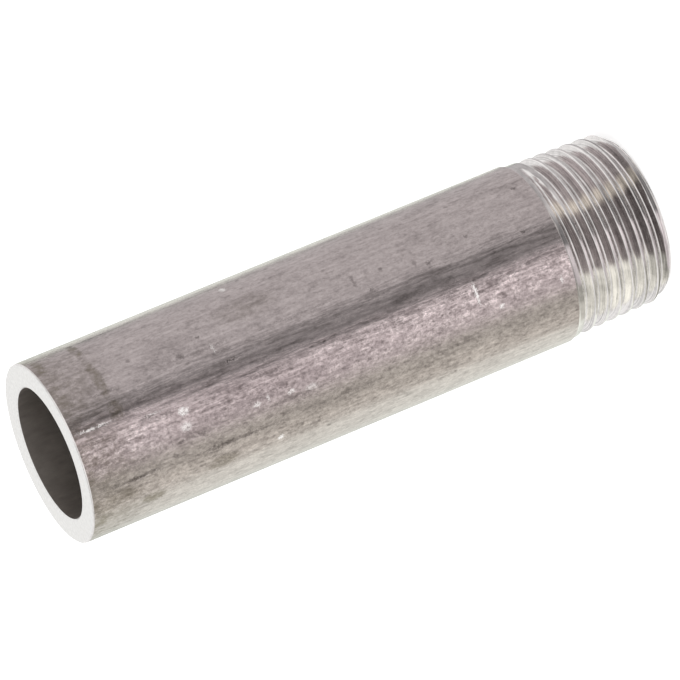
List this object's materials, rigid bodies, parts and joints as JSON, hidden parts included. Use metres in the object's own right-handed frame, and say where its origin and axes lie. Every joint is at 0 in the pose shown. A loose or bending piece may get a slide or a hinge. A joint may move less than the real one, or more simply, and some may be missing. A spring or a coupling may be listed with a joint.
{
  "type": "weld nipple",
  "caption": "Short stainless steel tube with a square plain end for welding and a right-hand taper pipe thread at the other end.",
  "frame": {"origin": "centre of the bore on the plane of the threaded end face, which is the bottom of the part", "axes": "+Z along the bore from the threaded end to the plain weld end; the thread's run-out lies 15 degrees clockwise from +X, seen from the weld end"},
  "size_m": [0.0172, 0.0172, 0.06],
  "materials": {
    "pickled_steel": "dull pickled tube skin with fine lengthwise streaks; bright machined thread and end faces"
  },
  "bodies": {
    "root": {"weld_nipple": "pickled_steel"}
  },
  "joints": []
}
